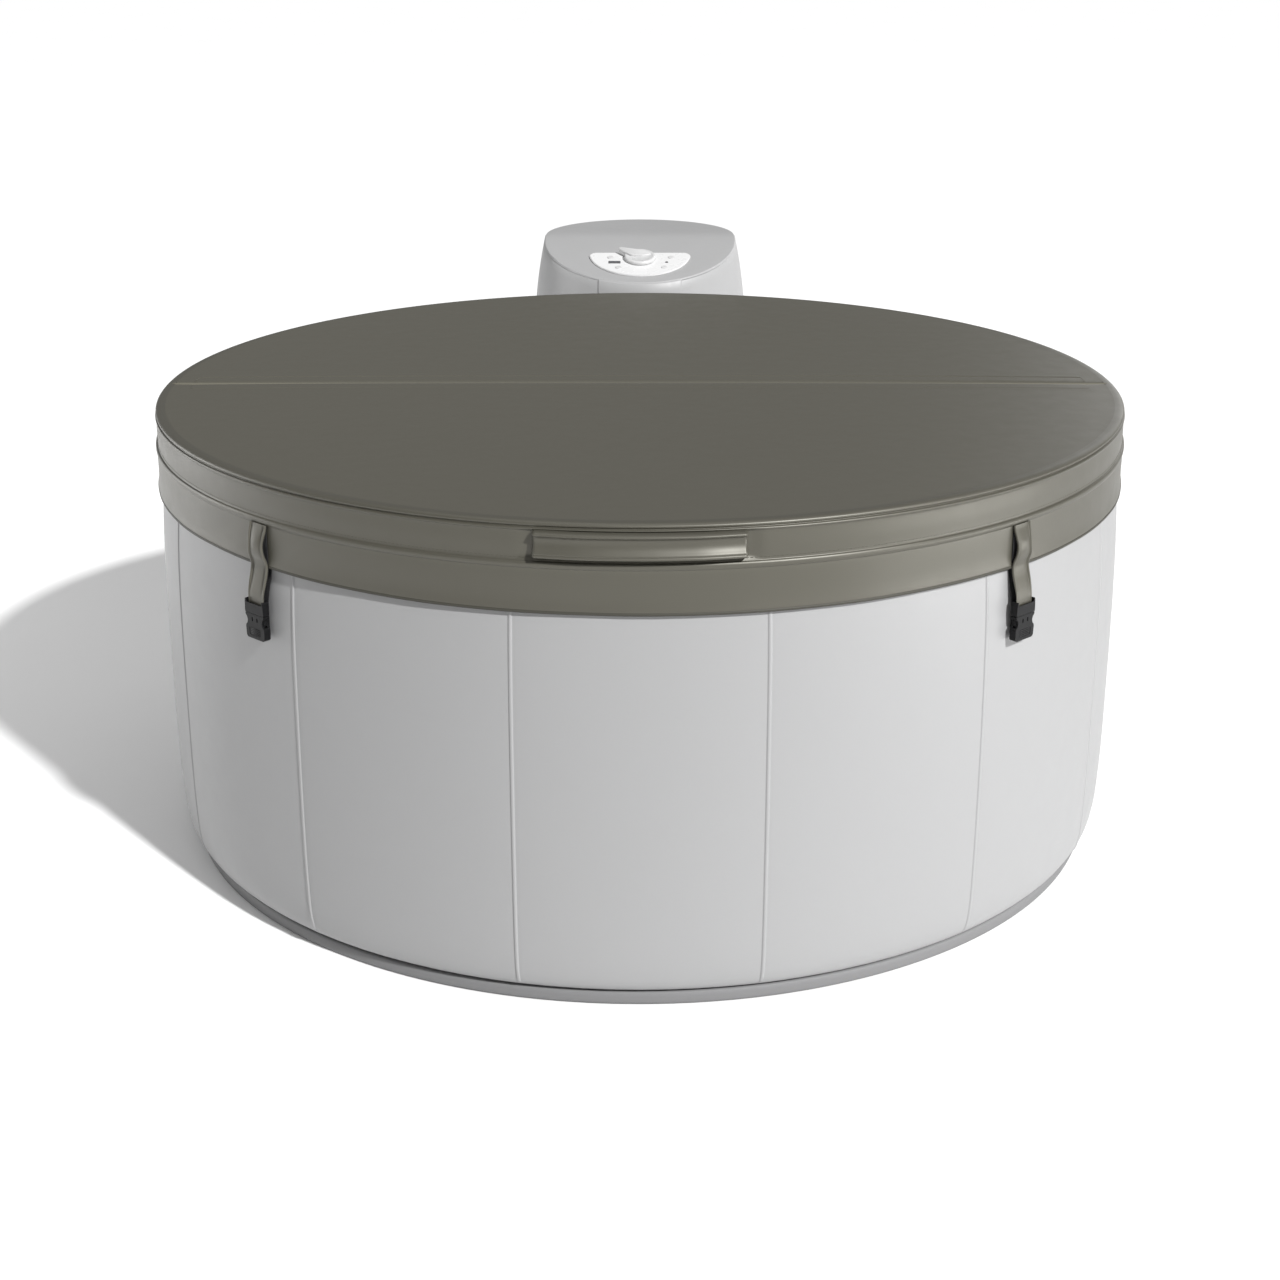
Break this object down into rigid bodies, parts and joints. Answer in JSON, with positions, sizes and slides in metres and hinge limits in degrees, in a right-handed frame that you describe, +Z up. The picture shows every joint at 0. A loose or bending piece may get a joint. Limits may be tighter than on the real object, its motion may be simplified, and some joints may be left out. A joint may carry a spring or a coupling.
{
  "type": "inflatable hot tub",
  "caption": "Round soft-sided hot tub with a two-part folding padded cover, strap buckles, and a free-standing pump and heater tower with a sloped control panel.",
  "frame": {"origin": "on the ground at the centre of the tub's base", "axes": "+Z up; -Y towards the front of the tub, where the cover's handle is; +Y towards the pump tower; +X to the right seen from the front"},
  "size_m": [1.5184, 2.0638, 0.757],
  "materials": {
    "base_mat": "matt foam-backed mat",
    "bladder_vinyl": "plain air chamber vinyl",
    "web_fabric": "woven tension strips",
    "jacket_vinyl": "light grey laminated vinyl, fine grain",
    "liner_vinyl": "smooth liner vinyl",
    "white_plastic": "moulded pipe and fitting plastic",
    "filter_paper": "pleated filter paper",
    "grey_plastic": "dark grey moulded plastic",
    "tower_plastic": "light grey moulded plastic",
    "cap_plastic": "mid grey moulded plastic",
    "panel_plastic": "white moulded panel",
    "control_plastic": "white moulded controls",
    "window_plastic": "smoked window",
    "circuit_board": "green board",
    "motor_metal": "finned casting",
    "steel": "steel",
    "black_plastic": "black moulded plastic",
    "cover_foam": "closed-cell foam board",
    "cover_vinyl": "taupe leather-grain vinyl",
    "fold_vinyl": "light welt along the fold",
    "buckle_plastic": "black moulded acetal"
  },
  "bodies": {
    "tub": {"base_pad": "base_mat", "wall_bladder": "bladder_vinyl", "tension_webs": "web_fabric", "outer_jacket": "jacket_vinyl", "seam_welts": "jacket_vinyl", "inner_liner": "liner_vinyl", "jet_manifold": "white_plastic", "jet_bodies": "white_plastic", "suction_pipe": "white_plastic", "return_pipe": "white_plastic", "drain_body": "white_plastic", "air_valve_body": "white_plastic", "buckle_socket_left": "buckle_plastic", "buckle_socket_right": "buckle_plastic"},
    "tower": {"tower_base": "grey_plastic", "tower_body": "tower_plastic", "tower_front_panel": "tower_plastic", "tower_cap": "cap_plastic", "control_panel": "panel_plastic", "display_windows": "window_plastic", "control_board": "circuit_board", "pump_motor": "motor_metal", "shaft_bearings": "steel", "pump_volute": "black_plastic", "heater_tube": "steel", "heater_outlet_pipe": "white_plastic", "cable_gland": "black_plastic"},
    "filter": {"filter_basket": "white_plastic", "filter_cartridge": "filter_paper"},
    "union_nut_suction": {"union_nut_suction": "grey_plastic"},
    "union_nut_return": {"union_nut_return": "grey_plastic"},
    "drain_cap": {"drain_cap": "grey_plastic"},
    "air_valve_cap": {"air_valve_cap": "grey_plastic"},
    "jet_nozzle_left": {"jet_nozzle_left": "grey_plastic"},
    "jet_nozzle_right": {"jet_nozzle_right": "grey_plastic"},
    "control_knob": {"control_knob": "control_plastic"},
    "button_1": {"button_1": "control_plastic"},
    "button_2": {"button_2": "control_plastic"},
    "button_3": {"button_3": "control_plastic"},
    "button_4": {"button_4": "control_plastic"},
    "pump_rotor": {"motor_shaft": "steel", "pump_impeller": "black_plastic"},
    "cover_rear": {"cover_rear_foam": "cover_foam", "cover_rear_skin": "cover_vinyl", "cover_rear_skirt": "cover_vinyl", "cover_rear_piping": "cover_vinyl", "cover_fold_welt": "fold_vinyl"},
    "cover_front": {"cover_front_foam": "cover_foam", "cover_front_skin": "cover_vinyl", "cover_front_skirt": "cover_vinyl", "cover_front_piping": "cover_vinyl", "carry_handle": "cover_vinyl", "strap_left": "cover_vinyl", "buckle_plug_left": "buckle_plastic", "strap_right": "cover_vinyl", "buckle_plug_right": "buckle_plastic"},
    "prong_left_outer": {"prong_left_outer": "buckle_plastic"},
    "prong_left_inner": {"prong_left_inner": "buckle_plastic"},
    "prong_right_inner": {"prong_right_inner": "buckle_plastic"},
    "prong_right_outer": {"prong_right_outer": "buckle_plastic"}
  },
  "joints": [
    {"name": "cover_lift", "type": "slide", "parent": "tub", "child": "cover_rear", "axis": [0, 0, 1], "range_m": [0, 0.35]},
    {"name": "cover_fold", "type": "hinge", "parent": "cover_rear", "child": "cover_front", "pos_m": [0, 0, 0.7], "axis": [-1, 0, 0], "range_deg": [0, 176]},
    {"name": "prong_left_outer_squeeze", "type": "hinge", "parent": "cover_front", "child": "prong_left_outer", "pos_m": [-0.52851, -0.55385, 0.5128], "axis": [-0.682, -0.7314, 0], "range_deg": [0, 8], "stiffness_Nm_per_rad": 0.2},
    {"name": "prong_left_inner_squeeze", "type": "hinge", "parent": "cover_front", "child": "prong_left_inner", "pos_m": [-0.51563, -0.56585, 0.5128], "axis": [0.682, 0.7314, 0], "range_deg": [0, 8], "stiffness_Nm_per_rad": 0.2},
    {"name": "prong_right_inner_squeeze", "type": "hinge", "parent": "cover_front", "child": "prong_right_inner", "pos_m": [0.51563, -0.56585, 0.5128], "axis": [0.682, -0.7314, 0], "range_deg": [0, 8], "stiffness_Nm_per_rad": 0.2},
    {"name": "prong_right_outer_squeeze", "type": "hinge", "parent": "cover_front", "child": "prong_right_outer", "pos_m": [0.52851, -0.55385, 0.5128], "axis": [-0.682, 0.7314, 0], "range_deg": [0, 8], "stiffness_Nm_per_rad": 0.2},
    {"name": "tower_detach", "type": "slide", "parent": "tub", "child": "tower", "axis": [0, 1, 0], "range_m": [0, 0.25]},
    {"name": "union_nut_suction_turn", "type": "hinge", "parent": "tub", "child": "union_nut_suction", "pos_m": [0, 0.782, 0.17], "axis": [0, -1, 0], "continuous": true},
    {"name": "union_nut_return_turn", "type": "hinge", "parent": "tub", "child": "union_nut_return", "pos_m": [0.048, 0.782, 0.38], "axis": [0, -1, 0], "continuous": true},
    {"name": "filter_pull", "type": "slide", "parent": "tub", "child": "filter", "axis": [0, -1, 0], "range_m": [0, 0.05]},
    {"name": "jet_nozzle_left_turn", "type": "hinge", "parent": "tub", "child": "jet_nozzle_left", "pos_m": [-0.25599, 0.53157, 0.38], "axis": [0.4339, -0.901, 0], "continuous": true},
    {"name": "jet_nozzle_right_turn", "type": "hinge", "parent": "tub", "child": "jet_nozzle_right", "pos_m": [0.25599, 0.53157, 0.38], "axis": [-0.4339, -0.901, 0], "continuous": true},
    {"name": "drain_cap_pull", "type": "slide", "parent": "tub", "child": "drain_cap", "axis": [-0.7818, 0.6235, 0], "range_m": [0, 0.04]},
    {"name": "air_valve_cap_pull", "type": "slide", "parent": "tub", "child": "air_valve_cap", "axis": [0.7818, 0.6235, 0], "range_m": [0, 0.04]},
    {"name": "control_knob_turn", "type": "hinge", "parent": "tower", "child": "control_knob", "pos_m": [0, 0.93307, 0.72351], "axis": [0, -0.2689, 0.9632], "range_deg": [-190, 75]},
    {"name": "button_1_press", "type": "slide", "parent": "tower", "child": "button_1", "axis": [0, 0.2689, -0.9632], "range_m": [0, 0.0012], "stiffness_N_per_m": 300, "springref_m": -0.001},
    {"name": "button_2_press", "type": "slide", "parent": "tower", "child": "button_2", "axis": [0, 0.2689, -0.9632], "range_m": [0, 0.0012], "stiffness_N_per_m": 300, "springref_m": -0.001},
    {"name": "button_3_press", "type": "slide", "parent": "tower", "child": "button_3", "axis": [0, 0.2689, -0.9632], "range_m": [0, 0.0012], "stiffness_N_per_m": 300, "springref_m": -0.001},
    {"name": "button_4_press", "type": "slide", "parent": "tower", "child": "button_4", "axis": [0, 0.2689, -0.9632], "range_m": [0, 0.0012], "stiffness_N_per_m": 300, "springref_m": -0.001},
    {"name": "pump_spin", "type": "hinge", "parent": "tower", "child": "pump_rotor", "pos_m": [0, 1, 0.17], "axis": [0, 1, 0], "continuous": true}
  ]
}
